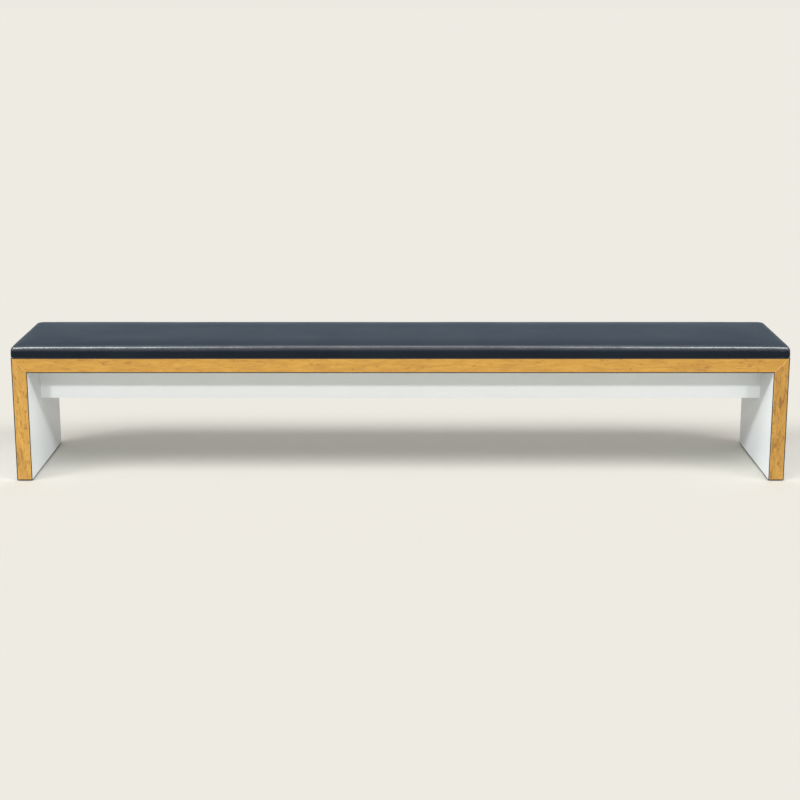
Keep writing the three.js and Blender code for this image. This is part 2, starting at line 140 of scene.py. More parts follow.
def makeScuffs():
    inputs = [("Vector", "Vector", None), ("Scale", "Float", 30.0), ("Amount", "Float", 0.5)]
    tree, given, out = newTree("scuffs", "ShaderNodeTree", inputs, [("Mask", "Float")])
    streaks = stretched(tree, given["Vector"], (1, 1, 7), (0.4, 0.9, 0.3))
    lines = noiseOf(tree, streaks, given["Scale"], 5.0, 0.62, 0.4)
    patches = noiseOf(tree, given["Vector"], times(tree, given["Scale"], 0.12), 2.0)
    marks = times(tree, remap(tree, lines, 0.58, 0.72), remap(tree, patches, 0.48, 0.68))
    tree.links.new(times(tree, marks, given["Amount"]), out["Mask"])
    return tree


def makeWoodGrain():
    inputs = [("Vector", "Vector", None), ("Band Scale", "Float", 62.0), ("Fleck Scale", "Float", 75.0),
              ("Pore Scale", "Float", 700.0), ("Fleck Share", "Float", 0.55), ("Fleck Start", "Float", 0.62),
              ("Early", "Color", None), ("Late", "Color", None), ("Pore", "Color", None)]
    outputs = [("Color", "Color"), ("Height", "Float"), ("Dullness", "Float")]
    tree, given, out = newTree("woodGrain", "ShaderNodeTree", inputs, outputs)
    along = stretched(tree, given["Vector"], (0.16, 1, 1))     # grain runs along X
    bands = noiseOf(tree, along, given["Band Scale"], 5.0, 0.62, 1.1)
    flecks = noiseOf(tree, stretched(tree, given["Vector"], (0.3, 1, 1)), given["Fleck Scale"], 3.0, 0.6, 0.8)
    pores = noiseOf(tree, stretched(tree, given["Vector"], (0.04, 1, 1)), given["Pore Scale"], 2.0)
    bandMask = remap(tree, bands, 0.36, 0.66)
    fleckMask = remap(tree, flecks, given["Fleck Start"], maths(tree, "ADD", given["Fleck Start"], 0.13))
    poreMask = remap(tree, pores, 0.56, 0.74)
    wood = mixColour(tree, bandMask, given["Early"], given["Late"])
    fleckShare = times(tree, fleckMask, given["Fleck Share"])
    wood = mixColour(tree, fleckShare, wood, given["Pore"])
    poreShare = times(tree, poreMask, 0.45)
    wood = mixColour(tree, poreShare, wood, given["Pore"])
    tree.links.new(wood, out["Color"])
    dips = maths(tree, "MAXIMUM", poreMask, times(tree, fleckMask, 0.4))
    tree.links.new(maths(tree, "SUBTRACT", 1.0, dips), out["Height"])
    tree.links.new(maths(tree, "MULTIPLY_ADD", bandMask, 0.3, dips), out["Dullness"])
    return tree


groups = {
    "mottle": makeMottle(),
    "fineGrain": makeFineGrain(),
    "scuffs": makeScuffs(),
    "woodGrain": makeWoodGrain(),
}
print("finish groups:", ", ".join(groups))


def placeGroup(tree, name, wires):
    return put(tree, "ShaderNodeGroup", wires, node_tree=groups[name]).outputs


def mottled(tree, vector, scale, low=0.0, high=1.0):
    wires = {"Vector": vector, "Scale": scale, "Low": low, "High": high}
    return placeGroup(tree, "mottle", wires)["Mask"]


def scuffed(tree, vector, scale, amount):
    return placeGroup(tree, "scuffs", {"Vector": vector, "Scale": scale, "Amount": amount})["Mask"]


def newMaterial(name, **constants):
    material = bpy.data.materials.new(name)
    material.use_nodes = True
    tree = material.node_tree
    shader = tree.nodes["Principled BSDF"]
    for socket, value in constants.items():
        shader.inputs[socket.replace("_", " ")].default_value = value
    return material, tree, shader, put(tree, "ShaderNodeTexCoord").outputs["Object"]


def wire(tree, shader, colour=None, roughness=None, height=None, depth=0.1 * mm, coat=None):
    if colour is not None:
        tree.links.new(colour, shader.inputs["Base Color"])
    if roughness is not None:
        tree.links.new(roughness, shader.inputs["Roughness"])
    if coat is not None:
        tree.links.new(coat, shader.inputs["Coat Weight"])
    if height is not None:
        bump = put(tree, "ShaderNodeBump", {"Height": height, "Distance": depth, "Strength": 1.0})
        tree.links.new(bump.outputs[0], shader.inputs["Normal"])


# oak edges: lacquered, grain along the strip
oakLook = {
    "early": (0.515, 0.268, 0.042, 1),
    "late": (0.405, 0.196, 0.026, 1),
    "pore": (0.27, 0.115, 0.016, 1),
    "roughness": (0.34, 0.50),
    "poreDepth": 0.06 * mm,
    # the paler colour of the eased oak edges, a painted highlight
    "arris": (0.76, 0.50, 0.17, 1),
    # each board: which way its grain is turned, where its pattern starts, its tint, and its flecks
    "boards": {
        "top": {"turn": (0, 0, 0), "start": (0, 0, 0), "tint": (0.89, 0.90, 0.80),
                "flecks": {"Fleck Share": 0.75, "Fleck Start": 0.57, "Fleck Scale": 120.0}},
        "left": {"turn": (0, math.pi / 2, 0), "start": (3.1, 0.4, 1.7), "tint": (0.95, 1.0, 1.12),
                 "flecks": {"Fleck Share": 1.0, "Fleck Start": 0.51, "Fleck Scale": 140.0}},
        "right": {"turn": (0, math.pi / 2, 0), "start": (7.3, 2.2, 0.6), "tint": (0.80, 0.82, 0.82),
                  "flecks": {"Fleck Share": 1.0, "Fleck Start": 0.51, "Fleck Scale": 140.0}},
    },
}


def makeOak(board):
    own = oakLook["boards"][board]
    material, tree, shader, place = newMaterial("oak" + board.capitalize(), Coat_Roughness=0.22)
    vector = put(tree, "ShaderNodeMapping", {
        "Vector": place, "Rotation": own["turn"], "Location": own["start"]}).outputs[0]
    colours = {name.capitalize(): [value * share for value, share in zip(oakLook[name], own["tint"])] + [1.0]
               for name in ("early", "late", "pore")}
    grain = placeGroup(tree, "woodGrain", {"Vector": vector, **own["flecks"], **colours})
    tone = mottled(tree, vector, 6.0, 0.95, 1.04)
    colour = mixColour(tree, 1.0, grain["Color"], tone, "MULTIPLY")
    scuff = scuffed(tree, place, 40.0, 0.5)
    dull = maths(tree, "MULTIPLY_ADD", scuff, 0.5, grain["Dullness"])
    wire(tree, shader, colour, remap(tree, dull, 0.0, 1.4, *oakLook["roughness"]), grain["Height"],
         oakLook["poreDepth"], remap(tree, dull, 0.0, 1.0, 0.22, 0.06))
    return material


# the eased corners of the oak, a paler oak colour in patches: a painted highlight along the edges
def makeOakEdgeHighlight():
    material, tree, shader, place = newMaterial("oakArris", Coat_Weight=0.1, Coat_Roughness=0.3)
    worn = mottled(tree, place, 14.0)
    colour = mixColour(tree, worn, oakLook["early"], oakLook["arris"])
    wire(tree, shader, colour, remap(tree, worn, 0, 1, 0.5, 0.4))
    return material


# white faces: laminate with a faint pearl texture; shade dims the whole colour, used as painted shade on the
# laminate
whiteLook = {
    "bright": (0.778, 0.806, 0.812, 1),
    "dim": (0.744, 0.771, 0.776, 1),
    "grainScale": 1500.0,
    "grainDepth": 0.012 * mm,
}


def makeWhite(name, roughness, grainScale, shade):
    material, tree, shader, place = newMaterial(name)
    tone = mottled(tree, place, 2.2)
    dim, bright = ([value * shade for value in whiteLook[end][:3]] + [1.0] for end in ("dim", "bright"))
    scuff = scuffed(tree, place, 22.0, 0.12)
    colour = mixColour(tree, scuff, mixColour(tree, tone, dim, bright), (0.42, 0.42, 0.41, 1))
    grain = placeGroup(tree, "fineGrain", {"Vector": place, "Scale": grainScale})
    plain = remap(tree, tone, 0, 1, roughness, roughness + 0.05)
    gloss = maths(tree, "MULTIPLY_ADD", grain["Pits"], 0.06, plain)
    wire(tree, shader, colour, maths(tree, "MULTIPLY_ADD", scuff, 0.6, gloss), grain["Height"],
         whiteLook["grainDepth"])
    return material


# dark resin core of the laminate, seen along every panel edge and also laid on the oak's upward bevels as
# painted shade under the pad, and the strips under the legs
def makeDark(name, colour, paler, roughness):
    material, tree, shader, place = newMaterial(name)
    layers = noiseOf(tree, stretched(tree, place, (40, 40, 40)), 12.0, 4.0)
    tone = mixColour(tree, remap(tree, layers, 0.35, 0.68), colour, paler)
    scuff = scuffed(tree, place, 60.0, 0.5)
    wire(tree, shader, mixColour(tree, scuff, tone, (0.16, 0.13, 0.10, 1)),
         remap(tree, layers, 0.3, 0.7, roughness, roughness + 0.14), layers, 0.03 * mm)
    return material


# seat leather: navy, small pebble, a soft dry sheen
leatherLook = {
    "deep": (0.0091, 0.0118, 0.0170, 1),
    "worn": (0.0119, 0.0153, 0.0213, 1),
    "pit": (0.006, 0.008, 0.012, 1),
    "pebbleScale": 1150.0,
    "pebbleDepth": 0.03 * mm,
    "creaseDepth": 0.16 * mm,
    "roughness": (0.36, 0.46),
    "polish": 1.0,
    "sheenTint": (0.55, 0.78, 1.0, 1),
}


def makeLeather():
    look = leatherLook
    material, tree, shader, place = newMaterial(
        "seatLeather", IOR=1.45, Specular_IOR_Level=0.006, Coat_Roughness=0.23, Coat_IOR=1.8,
        Sheen_Weight=0.072, Sheen_Roughness=0.45, Sheen_Tint=look["sheenTint"])
    tone = mottled(tree, place, 5.0)
    pebble = placeGroup(tree, "fineGrain", {"Vector": place, "Scale": look["pebbleScale"], "Softness": 0.6})
    colour = mixColour(tree, tone, look["deep"], look["worn"])
    colour = mixColour(tree, times(tree, pebble["Pits"], 0.5), colour, look["pit"])
    creases = noiseOf(tree, stretched(tree, place, (1, 2.5, 2.5)), 26.0, 4.0, 0.6, 0.6)
    folds = times(tree, creases, look["creaseDepth"] / look["pebbleDepth"])
    height = maths(tree, "ADD", folds, pebble["Height"])
    dull = maths(tree, "MULTIPLY_ADD", pebble["Pits"], 0.35, remap(tree, tone, 0, 1, 0.65, 0.0))
    rubbed = put(tree, "ShaderNodeAttribute", attribute_name="polish").outputs["Fac"]
    patchy = mottled(tree, place, 9.0, 0.65, 1.0)
    shine = times(tree, times(tree, rubbed, patchy), look["polish"])
    roughness = remap(tree, dull, 0, 1, *look["roughness"])
    wire(tree, shader, colour, roughness, height, look["pebbleDepth"], shine)
    return material


# plain woods inside the bench
def makeInnerWood(name, early, late, pore, turn=(0, 0, 0), bandScale=30.0):
    material, tree, shader, place = newMaterial(name)
    grain = placeGroup(tree, "woodGrain", {
        "Vector": stretched(tree, place, (1, 1, 1), turn), "Band Scale": bandScale,
        "Early": early, "Late": late, "Pore": pore})
    roughness = remap(tree, grain["Dullness"], 0, 1.3, 0.6, 0.85)
    wire(tree, shader, grain["Color"], roughness, grain["Height"], 0.1 * mm)
    return material


def makeChipboard():
    material, tree, shader, place = newMaterial("chipboard")
    chips = put(tree, "ShaderNodeTexVoronoi", {"Vector": stretched(tree, place, (1, 1, 2.2)), "Scale": 260.0})
    shade = remap(tree, noiseOf(tree, chips.outputs["Color"], 3.0), 0.3, 0.7)
    colour = mixColour(tree, shade, (0.32, 0.20, 0.095, 1), (0.60, 0.44, 0.25, 1))
    wire(tree, shader, colour, remap(tree, shade, 0, 1, 0.95, 0.8), chips.outputs["Distance"], 0.3 * mm)
    return material


def makeMetal(name, colour, dark, roughness, brushed):
    material, tree, shader, place = newMaterial(name, Metallic=1.0)
    brushing = noiseOf(tree, stretched(tree, place, brushed), 300.0, 3.0)
    tone = mottled(tree, place, 120.0)
    scuff = scuffed(tree, place, 180.0, 0.8)
    gloss = remap(tree, brushing, 0.3, 0.7, roughness, roughness + 0.15)
    wire(tree, shader, mixColour(tree, tone, dark, colour), maths(tree, "MULTIPLY_ADD", scuff, 0.2, gloss),
         brushing, 0.01 * mm)
    return material


def makeNylon():
    material, tree, shader, place = newMaterial("footNylon")
    tone = mottled(tree, place, 60.0)
    grain = placeGroup(tree, "fineGrain", {"Vector": place, "Scale": 2400.0})
    wire(tree, shader, mixColour(tree, tone, (0.009, 0.009, 0.010, 1), (0.018, 0.018, 0.019, 1)),
         remap(tree, grain["Pits"], 0, 1, 0.45, 0.62), grain["Height"], 0.03 * mm)
    return material


def makeDustWeave():
    material, tree, shader, place = newMaterial("dustCloth", Sheen_Weight=0.3, Sheen_Roughness=0.6)
    threads = {"Vector": place, "Scale": 180.0}
    warp = put(tree, "ShaderNodeTexWave", threads, bands_direction="X").outputs["Fac"]
    weft = put(tree, "ShaderNodeTexWave", threads, bands_direction="Y").outputs["Fac"]
    weave = maths(tree, "MAXIMUM", warp, weft)
    fluff = noiseOf(tree, place, 500.0, 4.0)
    wire(tree, shader, mixColour(tree, fluff, (0.006, 0.006, 0.007, 1), (0.022, 0.022, 0.024, 1)),
         remap(tree, weave, 0, 1, 0.98, 0.86), weave, 0.15 * mm)
    return material


crossways = (0, 0, math.pi / 2)
finishes = {
    "topOak": makeOak("top"),
    "leftOak": makeOak("left"),
    "rightOak": makeOak("right"),
    "oakArris": makeOakEdgeHighlight(),
    # the laminate's white is dimmed to 0.88 of the rail's white: painted shade
    "white": makeWhite("whiteLaminate", 0.36, whiteLook["grainScale"], 0.88),
    "railWhite": makeWhite("railWhite", 0.42, 1100.0, 1.0),
    "resin": makeDark("resinCore", (0.0045, 0.0033, 0.0024, 1), (0.013, 0.009, 0.006, 1), 0.42),
    "edging": makeDark("darkEdging", (0.008, 0.007, 0.006, 1), (0.018, 0.015, 0.012, 1), 0.5),
    "leather": makeLeather(),
    "beech": makeInnerWood("beech", (0.60, 0.40, 0.22, 1), (0.50, 0.31, 0.16, 1), (0.36, 0.20, 0.09, 1)),
    "plywood": makeInnerWood("plywood", (0.56, 0.37, 0.17, 1), (0.47, 0.29, 0.12, 1), (0.30, 0.17, 0.07, 1),
                             crossways, 14.0),
    "chipboard": makeChipboard(),
    "zinc": makeMetal("zinc", (0.50, 0.51, 0.53, 1), (0.36, 0.37, 0.39, 1), 0.34, (1, 8, 1)),
    "steel": makeMetal("steel", (0.58, 0.58, 0.59, 1), (0.44, 0.44, 0.46, 1), 0.26, (1, 1, 9)),
    "nylon": makeNylon(),
    "dustCloth": makeDustWeave(),
}
print("finishes:", len(finishes))


# pieces
def addPiece(name, mesh, *materials):
    mesh.materials.clear()
    for material in materials:
        mesh.materials.append(material)
    piece = bpy.data.objects.new(name, mesh)
    scene.collection.objects.link(piece)
    return piece


def settle(piece, body, slot, *stoodFor):
    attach(piece, body)
    if stoodFor:
        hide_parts(*stoodFor)
    return piece


# a CAD node's form with its corners eased, as a new mesh
def easedMesh(name, node, ease):
    form = bmesh.new()
    form.from_mesh(nodes[node].data)
    bmesh.ops.remove_doubles(form, verts=form.verts, dist=0.001 * mm)
    bmesh.ops.dissolve_limit(form, angle_limit=math.radians(1), verts=form.verts, edges=form.edges)
    corners = [edge for edge in form.edges if edge.calc_face_angle(0) > math.radians(30)]
    bmesh.ops.bevel(form, geom=corners, offset=ease, offset_type="OFFSET", segments=2, profile=0.6,
                    affect="EDGES", clamp_overlap=True)
    mesh = bpy.data.meshes.new(name)
    form.to_mesh(mesh)
    form.free()
    mesh.shade_flat()      # so that a large face keeps one normal right up to its eased edge
    return mesh


# panel faces: white on the show side, the dark core on every edge
panelFaces = {
    "ease": 0.35 * mm,
    "shows": {
        "top_upper": (0, 0, 1), "top_lower": (0, 0, -1),
        "left_outer": (-1, 0, 0), "left_inner": (1, 0, 0),
        "right_outer": (1, 0, 0), "right_inner": (-1, 0, 0),
    },
}
for place, outward in panelFaces["shows"].items():
    node = place + "_laminate"
    mesh = easedMesh(node + "_sheet", node, panelFaces["ease"])
    sheet = addPiece(node + "_sheet", mesh, finishes["white"], finishes["resin"])
    for face in mesh.polygons:
        face.material_index = 0 if face.normal.dot(Vector(outward)) > 0.99 else 1
    settle(sheet, "carcass", "white_laminate", node)

oakEdges = {"ease": 0.8 * mm, "places": ["top", "left", "right"], "ends": ["front", "rear"]}
for place in oakEdges["places"]:
    for end in oakEdges["ends"]:
        node = f"{place}_{end}_lipping"
        mesh = easedMesh(node + "_strip", node, oakEdges["ease"])
        looks = finishes[place + "Oak"], finishes["oakArris"], finishes["resin"]
        strip = addPiece(node + "_strip", mesh, *looks)
        for face in mesh.polygons:
            # faces square to an axis keep the oak; upward bevels take painted shade, the other eased faces
            # the painted highlight
            side, front, up = face.normal
            if max(abs(side), abs(front), abs(up)) > 0.99:
                face.material_index = 0
            elif abs(side) < 0.01 and up > 0.1:
                face.material_index = 2      # painted shade under the pad, in the dark resin colour
            else:
                face.material_index = 1
        settle(strip, "carcass", "oak", node)

thinEase = 0.4 * mm
for side in ("left", "right"):
    node = side + "_bottom_edging"
    strip = addPiece(node + "_strip", easedMesh(node + "_strip", node, thinEase), finishes["edging"])
    settle(strip, "carcass", "dark_edging", node)

for node, slot in (("rail_board", "white_board"), ("rail_bottom_edging", "white_edging")):
    board = addPiece(node + "_eased", easedMesh(node + "_eased", node, thinEase), finishes["railWhite"])
    settle(board, "carcass", slot, node)
print("carcass: sheets, oak strips, edgings and rail")


# seat pad: cover and foam as one shell round the base board
padForm = {
    "frontCorner": 12 * mm,
    "rearCorner": 26 * mm,
    "topRoll": 17 * mm,
    "tightShare": 0.5,         # the roll at the rear and the ends is drawn tighter than the front one
    "bottomRoll": 1.2 * mm,
    "crown": 3.0 * mm,
    "rearLift": 3.2 * mm,      # the seat face rises this much from front to rear
    "crownRun": 120 * mm,      # how far in from each end the crown grows
    "overhang": 2.8 * mm,      # the cover stands this far proud of the bench's front and ends
    "overhangRun": 25 * mm,
    "cornerDip": 1.6 * mm,
    "dipReach": 30 * mm,
    "edgeLift": 1.2 * mm,      # the lower front edge rises towards the corners
    "liftReach": 110 * mm,
    "hem": 30 * mm,
    "hemThickness": 1.15 * mm,
    "boardEdge": 6.7 * mm,     # the pocket for the board, in from the pad's edge
    "lift": 0.05 * mm,
    "cell": 13 * mm,
    "cornerSteps": 6,
    "pull": 0.7 * mm,          # uneven pull of the cover round the edge
    "pullRun": 150 * mm,
    "pullFrom": 6 * mm,        # the pull starts this far up, and is full after pullRise
    "pullRise": 14 * mm,
    "pullReach": 45 * mm,
    "pullDown": 0.6,
    "rippleShare": 0.5,        # a finer wave on top of the first
    "rippleScale": 2.6,
    "polishMiddle": 38,        # the roll is rubbed bright round this angle from level
    "polishSpread": 20,
}
swell = {
    "pressure": 0.12, "stiffness": 80, "shear": 8, "bending": 2, "mass": 0.3, "quality": 4, "frames": 20,
    "cap": 5 * mm, "room": 1.2 * mm,
}
coverLow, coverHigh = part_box("pad_cover")
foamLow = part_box("pad_foam")[0]
padMidY = (coverLow.y + coverHigh.y) / 2
padHalfY = (coverHigh.y - coverLow.y) / 2
padEdgeTop = coverHigh.z - padForm["crown"] - swell["room"]
padSteps = {
    "along": round((coverHigh.x - padForm["rearCorner"]) * 2 / padForm["cell"]),
    "across": round((padHalfY - padForm["rearCorner"]) * 2 / padForm["cell"]),
}


# one loop of points round the pad, from the front left corner, against the clock
def padRing(frontInset, z, inset):
    low = Vector((coverLow.x + inset, coverLow.y + frontInset))
    high = Vector((coverHigh.x - inset, coverHigh.y - inset))
    front = max(padForm["frontCorner"] - frontInset, 0.0)
    rear = max(padForm["rearCorner"] - inset, 0.0)
    sides = [
        (Vector((low.x + front, low.y)), Vector((high.x - front, low.y)), "along", front),
        (Vector((high.x, low.y + front)), Vector((high.x, high.y - rear)), "across", rear),
        (Vector((high.x - rear, high.y)), Vector((low.x + rear, high.y)), "along", rear),
        (Vector((low.x, high.y - rear)), Vector((low.x, low.y + front)), "across", front),
    ]
    ring = []
    for start, end, steps, radius in sides:
        ahead = (end - start).normalized()
        inward = Vector((-ahead.y, ahead.x))
        for i in range(padSteps[steps] + 1):
            ring.append(start.lerp(end, i / padSteps[steps]))
        for i in range(1, padForm["cornerSteps"]):
            angle = i / padForm["cornerSteps"] * math.pi / 2
            ring.append(end + radius * (ahead * math.sin(angle) + inward * (1 - math.cos(angle))))
    return [Vector((point.x, point.y, z)) for point in ring]


# rings from the pocket round the board, under the hem and up over the roll
# each is its front inset, height, inset elsewhere and polish
def padProfile():
    form = padForm
    low = coverLow.z + form["lift"]
    hemTop = coverLow.z + form["hemThickness"]
    midHem = (form["bottomRoll"] + form["hem"]) / 2
    inside = [(form["boardEdge"], foamLow.z), (form["boardEdge"], hemTop), (form["hem"], hemTop),
              (form["hem"], low), (midHem, low)]
    rings = [(inset, z, inset, 0.0) for inset, z in inside]
    for i in range(4):
        angle = i / 3 * math.pi / 2
        inset = form["bottomRoll"] * (1 - math.sin(angle))
        rings.append((inset, low + form["bottomRoll"] * (1 - math.cos(angle)), inset, 0.0))
    sideTop = padEdgeTop - form["topRoll"]
    sideLow = low + form["bottomRoll"]
    for i in (1, 2, 3):
        rings.append((0.0, sideLow + (sideTop - sideLow) * i / 4, 0.0, 0.0))
    for i in range(11):
        angle = i / 10 * math.pi / 2
        inset = form["topRoll"] * (1 - math.cos(angle))
        off = (90 - math.degrees(angle) - form["polishMiddle"]) / form["polishSpread"]
        rings.append((inset, sideTop + form["topRoll"] * math.sin(angle), inset * form["tightShare"],
                      math.exp(-off * off)))
    flatSteps = ((0.15, 0.2), (0.45, 0.0), (1.0, 0.0))
    for share, polish in flatSteps:
        inset = form["topRoll"] + share * (form["rearCorner"] - form["topRoll"])
        tightRoll = form["topRoll"] * form["tightShare"]
        rings.append((inset, padEdgeTop, tightRoll + share * (form["rearCorner"] - tightRoll), polish))
    return rings


def padSkin():
    form = bmesh.new()
    polish = form.verts.layers.float.new("polish")
    rows = []
    for frontInset, z, inset, shine in padProfile():
        row = [form.verts.new(point) for point in padRing(frontInset, z, inset)]
        for vertex in row:
            vertex[polish] = shine
        rows.append(row)
    innermost = padRing(padForm["rearCorner"], foamLow.z, padForm["rearCorner"])
    rows.insert(0, [form.verts.new(point) for point in innermost])
    count = len(rows[0])
    for low, high in zip(rows, rows[1:]):
        for i in range(count):
            after = (i + 1) % count
            form.faces.new((low[i], low[after], high[after], high[i]))
    # two fields close the ends: the foam's underside and the seat face
    reachX = coverHigh.x - padForm["rearCorner"]
    reachY = padHalfY - padForm["rearCorner"]
    along, across = padSteps["along"], padSteps["across"]
    for z, faceUp in ((foamLow.z, False), (rows[-1][0].co.z, True)):
        grid = []
        for j in range(across + 1):
            y = padMidY + (2 * j / across - 1) * reachY
            grid.append([form.verts.new(((2 * i / along - 1) * reachX, y, z)) for i in range(along + 1)])
        for j in range(across):
            for i in range(along):
                corners = (grid[j][i], grid[j][i + 1], grid[j + 1][i + 1], grid[j + 1][i])
                form.faces.new(corners if faceUp else corners[::-1])
    bmesh.ops.remove_doubles(form, verts=form.verts, dist=0.01 * mm)
    return form


def clamped(value):
    return min(max(value, 0.0), 1.0)


def shapePad(point):
    form = padForm
    x, y, z = point.x, point.y - padMidY, point.z
    up = clamped((z - coverLow.z) / (padEdgeTop - coverLow.z))
    # crown over what lies inside the roll
    insideX = clamped((coverHigh.x - form["topRoll"] - abs(x)) / form["crownRun"])
    insideY = clamped(1 - abs(y) / (padHalfY - form["topRoll"]))
    if z > padEdgeTop - 0.01 * mm:
        z += form["crown"] * (1 - (1 - insideX) ** 3) * (1 - (1 - insideY) ** 3)
    z += form["rearLift"] * up * clamped((y + padHalfY) / (2 * padHalfY))
    # front corners are drawn down a little, and the cover overhangs the bench's front and ends
    away = math.hypot(coverHigh.x - abs(x), y + padHalfY) / form["dipReach"]
    z -= form["cornerDip"] * up * math.exp(-away * away)
    nearFront = clamped((-y - padHalfY) / form["overhangRun"] + 1)
    nearEnd = clamped((abs(x) - coverHigh.x) / form["overhangRun"] + 1)
    fromEnd = (coverHigh.x - abs(x)) / form["liftReach"]
    z += form["edgeLift"] * nearFront * max(1 - 4 * up, 0.0) * math.exp(-fromEnd * fromEnd)
    y -= form["overhang"] * nearFront
    x += math.copysign(form["overhang"] * nearEnd, x)
    return Vector((x, y + padMidY, z))


# the cover's uneven pull, in and out round the edge
def pullCover(point):
    form = padForm
    x, y, z = point.x, point.y - padMidY, point.z
    up = clamped((z - coverLow.z - form["pullFrom"]) / form["pullRise"])
    nearY = clamped((abs(y) - padHalfY) / form["pullReach"] + 1)
    nearX = clamped((abs(x) - coverHigh.x) / form["pullReach"] + 1)
    wave = noise.noise(Vector((x, y, 0)) / form["pullRun"])
    wave += form["rippleShare"] * noise.noise(Vector((x, y, 1)) / form["pullRun"] * form["rippleScale"])
    shift = form["pull"] * wave * up
    return Vector((x - math.copysign(shift * nearX, x), y + padMidY - math.copysign(shift * nearY, y),
                   z - form["pullDown"] * shift * max(nearX, nearY)))


# air pressure under the cover, with the hem and the pocket held
def swellPad(mesh):
    held = bpy.data.objects.new("padSwell", mesh.copy())
    scene.collection.objects.link(held)
    pinned = held.vertex_groups.new(name="held")
    holdBelow = coverLow.z + padForm["bottomRoll"] + 1 * mm
    keep = [v.index for v in mesh.vertices if v.co.z < holdBelow or abs(v.co.z - foamLow.z) < 0.01 * mm]
    pinned.add(keep, 1.0, "REPLACE")
    cloth = held.modifiers.new("swell", "CLOTH")
    cloth.settings.quality = swell["quality"]
    cloth.settings.mass = swell["mass"]
    cloth.settings.tension_stiffness = swell["stiffness"]
    cloth.settings.compression_stiffness = swell["stiffness"]
    cloth.settings.shear_stiffness = swell["shear"]
    cloth.settings.bending_stiffness = swell["bending"]
    cloth.settings.use_pressure = True
    cloth.settings.uniform_pressure_force = swell["pressure"]
    cloth.settings.vertex_group_mass = pinned.name
    cloth.settings.effector_weights.gravity = 0
    cloth.collision_settings.use_collision = False
    for step in range(1, swell["frames"] + 1):
        scene.frame_set(step)
    swollen = held.evaluated_get(bpy.context.evaluated_depsgraph_get()).to_mesh()
    moves = [after.co - before.co for before, after in zip(mesh.vertices, swollen.vertices)]
    print("seat pad swells by up to", round(max(move.length for move in moves) / mm, 2), "mm")
    for vertex, move in zip(mesh.vertices, moves):
        vertex.co += move * min(1.0, swell["cap"] / max(move.length, 1e-9))
    scene.frame_set(1)
    spare = held.data
    bpy.data.objects.remove(held)
    bpy.data.meshes.remove(spare)


def makePad():
    form = padSkin()
    for vertex in form.verts:
        vertex.co = shapePad(vertex.co)
    bmesh.ops.recalc_face_normals(form, faces=form.faces)
    mesh = bpy.data.meshes.new("seat_pad")
    form.to_mesh(mesh)
    form.free()
    swellPad(mesh)
    for vertex in mesh.vertices:
        vertex.co = pullCover(vertex.co)
    mesh.shade_smooth()
    pad = addPiece("seat_pad", mesh, finishes["leather"])
    fine = pad.modifiers.new("fine", "SUBSURF")
    fine.levels = 1
    fine.render_levels = 1
    settle(pad, "carcass", "leather", "pad_cover", "pad_foam")
    print("seat pad:", len(mesh.vertices), "vertices")


makePad()


# hardware: each tree draws one fastener from its sizes and sets it at every point
def drum(tree, radius, length, low, sides=40, rows=1, ease=0.0, wave=None):
    made = put(tree, "GeometryNodeMeshCylinder", {
        "Vertices": sides, "Side Segments": rows, "Radius": radius, "Depth": length}, fill_type="NGON")
    spot = put(tree, "ShaderNodeSeparateXYZ", {0: put(tree, "GeometryNodeInputPosition").outputs[0]}).outputs
    toEnd = maths(tree, "SUBTRACT", times(tree, length, 0.5), maths(tree, "ABSOLUTE", spot["Z"]))
    lost = times(tree, maths(tree, "LESS_THAN", toEnd, 0.01 * mm), ease)
    if wave is not None:
        lost = maths(tree, "ADD", lost, wave(maths(tree, "ARCTAN2", spot["Y"], spot["X"]), spot["Z"]))
    share = maths(tree, "SUBTRACT", 1.0, maths(tree, "DIVIDE", lost, radius))
    moved = xyz(tree, times(tree, spot["X"], share), times(tree, spot["Y"], share), spot["Z"])
    shaped = put(tree, "GeometryNodeSetPosition", {"Geometry": made.outputs[0], "Position": moved})
    rise = xyz(tree, z=maths(tree, "MULTIPLY_ADD", length, 0.5, low))
    return put(tree, "GeometryNodeTransform", {"Geometry": shaped.outputs[0], "Translation": rise}).outputs[0]


def threadOf(tree, pitch, depth):
    def wave(angle, z):
        around = maths(tree, "DIVIDE", angle, math.tau)
        turns = maths(tree, "SUBTRACT", maths(tree, "DIVIDE", z, pitch), around)
        ridge = maths(tree, "COSINE", times(tree, turns, math.tau))
        return times(tree, maths(tree, "MULTIPLY_ADD", ridge, -0.5, 0.5), depth)
    return wave


def flutesOf(tree, count, depth):
    def wave(angle, z):
        groove = maths(tree, "MAXIMUM", maths(tree, "COSINE", times(tree, angle, count)), 0.0)
        return times(tree, groove, depth)
    return wave


def together(tree, *parts):
    made = put(tree, "GeometryNodeJoinGeometry")
    for part in parts:
        tree.links.new(part, made.inputs[0])
    return made.outputs[0]


def without(tree, part, *cutters):
    wires = {"Mesh 1": part, "Mesh 2": together(tree, *cutters)}
    return put(tree, "GeometryNodeMeshBoolean", wires, operation="DIFFERENCE", solver="EXACT").outputs[0]


def fused(tree, *parts):
    wires = {"Mesh 2": together(tree, *parts)}
    return put(tree, "GeometryNodeMeshBoolean", wires, operation="UNION", solver="EXACT").outputs[0]


# a round cutter, its length and its start given as shares of what it cuts
def cutter(tree, radius, size, share, start, sides):
    return drum(tree, radius, times(tree, size, share), times(tree, size, start), sides)


def slab(tree, size, middle):
    made = put(tree, "GeometryNodeMeshCube", {"Size": size})
    return put(tree, "GeometryNodeTransform", {"Geometry": made.outputs[0], "Translation": middle}).outputs[0]


